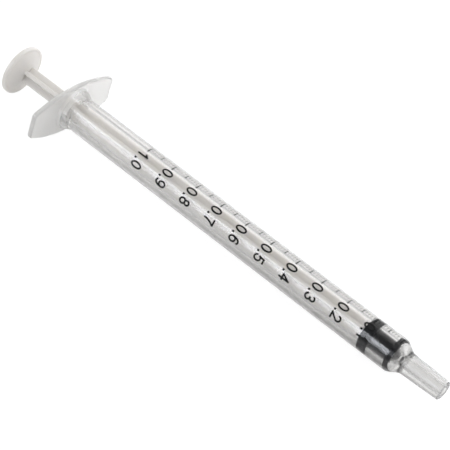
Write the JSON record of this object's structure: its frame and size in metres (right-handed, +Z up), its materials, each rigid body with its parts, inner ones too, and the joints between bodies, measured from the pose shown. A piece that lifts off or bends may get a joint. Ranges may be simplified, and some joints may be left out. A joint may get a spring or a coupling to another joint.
{
  "type": "slip tip syringe",
  "caption": "Small straight syringe with a plain tapered slip nozzle, wide finger flange, cruciform plunger rod with thumb disc, and a black rubber stopper, lying on its side.",
  "frame": {"origin": "middle of the footprint of the bounding box, on the surface that the syringe lies on", "axes": "+X along the syringe towards the nozzle, +Y along the finger flange, +Z up; the axis of the barrel dips by 1.15 degrees towards the nozzle, because the flange is wider than the tube"},
  "size_m": [0.1082, 0.0226, 0.0107],
  "materials": {
    "clear_barrel": "clear moulded plastic with a glossy surface and black printed scale",
    "black_rubber": "smooth black rubber with a thin film of silicone oil",
    "natural_rod": "milky translucent moulded plastic"
  },
  "bodies": {
    "barrel": {"barrel": "clear_barrel"},
    "stopper": {"stopper": "black_rubber"},
    "plunger_rod": {"plunger_rod": "natural_rod"}
  },
  "joints": [
    {"name": "plunger_slide", "type": "slide", "parent": "barrel", "child": "stopper", "axis": [-0.9998, 0, 0.0201], "range_m": [0, 0.0732]},
    {"name": "rod_turn", "type": "hinge", "parent": "stopper", "child": "plunger_rod", "pos_m": [0.03577, 0, 0.00369], "axis": [0.9998, 0, -0.0201], "continuous": true}
  ]
}
